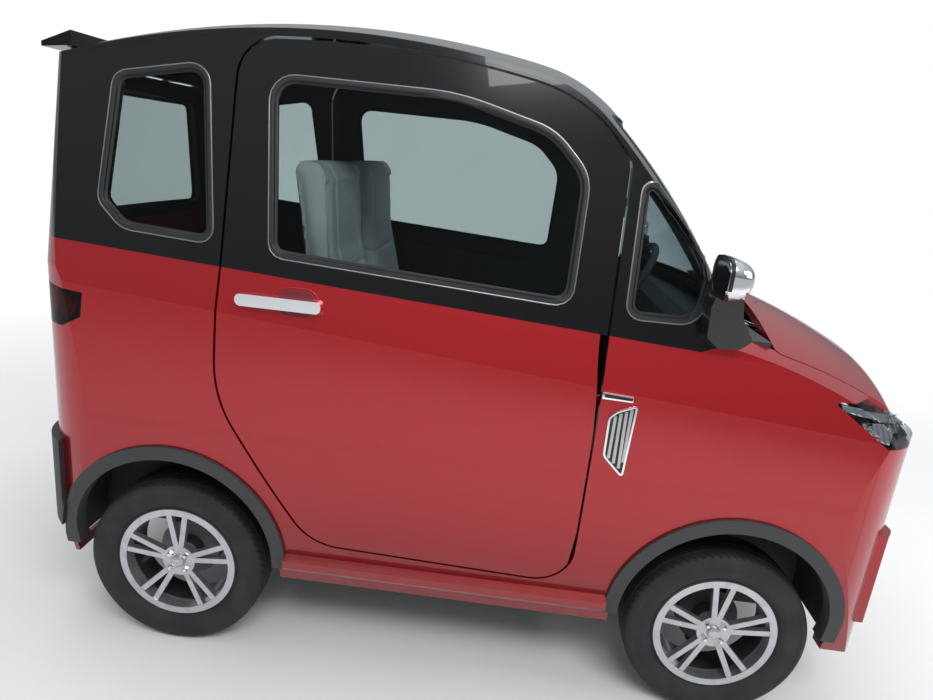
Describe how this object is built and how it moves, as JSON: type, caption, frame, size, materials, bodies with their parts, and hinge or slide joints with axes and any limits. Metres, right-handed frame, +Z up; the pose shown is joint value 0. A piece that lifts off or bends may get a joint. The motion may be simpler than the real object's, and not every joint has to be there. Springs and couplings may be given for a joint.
{
  "type": "microcar",
  "caption": "Small closed city car on road wheels, with long doors, opening bonnet and tailgate, steered front wheels and a cabin with seats.",
  "frame": {"origin": "on the ground, at the middle of the car's length and width", "axes": "+X forward, +Y to the car's left, +Z up"},
  "size_m": [2.35, 1.372, 1.7348],
  "materials": {
    "axle_casting": "rough cast",
    "battery_casing": "satin",
    "black_paint": "gloss black",
    "body_paint": "metallic clear-coated red",
    "bright_trim": "polished",
    "cabin_plastic": "grained",
    "chassis_steel": "satin black",
    "grille_plastic": "gloss black",
    "headlamp_lens": "clear lens over bright reflector",
    "seat_cover": "light grey",
    "side_glazing": "tinted",
    "tail_lamp_lens": "smoked",
    "trim_plastic": "grained dark grey",
    "tyre": "matte",
    "wheel_alloy": "satin",
    "windscreen_glazing": "light blue tint"
  },
  "bodies": {
    "body": {"arch_flares": "trim_plastic", "battery_box": "battery_casing", "cabin_tub": "chassis_steel", "chassis_frame": "chassis_steel", "cowl_panel": "trim_plastic", "dash_panel": "cabin_plastic", "drive_axle": "axle_casting", "front_fenders": "body_paint", "front_suspension": "chassis_steel", "grille": "grille_plastic", "headlamps": "headlamp_lens", "mirrors": "bright_trim", "nose_panel": "body_paint", "pillar_frames": "black_paint", "quarter_panels": "body_paint", "rear_bumper": "trim_plastic", "rear_suspension": "chassis_steel", "roof_panel": "black_paint", "seat_backs": "seat_cover", "seat_cushions": "seat_cover", "side_glass": "side_glazing", "side_skirts": "body_paint", "tail_lamps": "tail_lamp_lens", "wheel_liners": "trim_plastic", "windscreen": "windscreen_glazing"},
    "door_left": {"door_left_frame": "black_paint", "door_left_glass": "side_glazing", "door_left_handle": "bright_trim", "door_left_panel": "body_paint"},
    "door_right": {"door_right_frame": "black_paint", "door_right_glass": "side_glazing", "door_right_handle": "bright_trim", "door_right_panel": "body_paint"},
    "bonnet": {"bonnet": "body_paint"},
    "tailgate": {"tailgate_frame": "black_paint", "tailgate_glass": "side_glazing", "tailgate_panel": "body_paint"},
    "knuckle_left": {"knuckle_left": "chassis_steel"},
    "knuckle_right": {"knuckle_right": "chassis_steel"},
    "wheel_front_left": {"rim_front_left": "wheel_alloy", "tyre_front_left": "tyre"},
    "wheel_front_right": {"rim_front_right": "wheel_alloy", "tyre_front_right": "tyre"},
    "wheel_rear_left": {"rim_rear_left": "wheel_alloy", "tyre_rear_left": "tyre"},
    "wheel_rear_right": {"rim_rear_right": "wheel_alloy", "tyre_rear_right": "tyre"},
    "steering_wheel": {"steering_wheel": "cabin_plastic"}
  },
  "joints": [
    {"name": "door_left_hinge", "type": "hinge", "parent": "body", "child": "door_left", "pos_m": [0.362, 0.541, 0.69], "axis": [0, 0, -1], "range_deg": [0, 65]},
    {"name": "door_right_hinge", "type": "hinge", "parent": "body", "child": "door_right", "pos_m": [0.362, -0.541, 0.69], "axis": [0, 0, 1], "range_deg": [0, 65]},
    {"name": "bonnet_hinge", "type": "hinge", "parent": "body", "child": "bonnet", "pos_m": [0.73, 0, 1.088], "axis": [0, -1, 0], "range_deg": [0, 60]},
    {"name": "tailgate_hinge", "type": "hinge", "parent": "body", "child": "tailgate", "pos_m": [-1.163, 0, 1.563], "axis": [0, 1, 0], "range_deg": [0, 75]},
    {"name": "steer_left", "type": "hinge", "parent": "body", "child": "knuckle_left", "pos_m": [0.735, 0.42, 0.247], "axis": [0, 0, 1], "range_deg": [-28, 28]},
    {"name": "steer_right", "type": "hinge", "parent": "body", "child": "knuckle_right", "pos_m": [0.735, -0.42, 0.247], "axis": [0, 0, 1], "range_deg": [-28, 28]},
    {"name": "steering_wheel_turn", "type": "hinge", "parent": "body", "child": "steering_wheel", "pos_m": [0.478, 0.245, 1.05], "axis": [-0.866, 0, 0.5], "range_deg": [-340, 340]},
    {"name": "roll_front_left", "type": "hinge", "parent": "knuckle_left", "child": "wheel_front_left", "pos_m": [0.735, 0.49, 0.247], "axis": [0, 1, 0], "continuous": true},
    {"name": "roll_front_right", "type": "hinge", "parent": "knuckle_right", "child": "wheel_front_right", "pos_m": [0.735, -0.49, 0.247], "axis": [0, 1, 0], "continuous": true},
    {"name": "roll_rear_left", "type": "hinge", "parent": "body", "child": "wheel_rear_left", "pos_m": [-0.765, 0.49, 0.247], "axis": [0, 1, 0], "continuous": true},
    {"name": "roll_rear_right", "type": "hinge", "parent": "body", "child": "wheel_rear_right", "pos_m": [-0.765, -0.49, 0.247], "axis": [0, 1, 0], "continuous": true}
  ],
  "couplings": [
    {"joint": "steer_right", "follows": "steer_left", "ratio": 1},
    {"joint": "steering_wheel_turn", "follows": "steer_left", "ratio": 12}
  ]
}
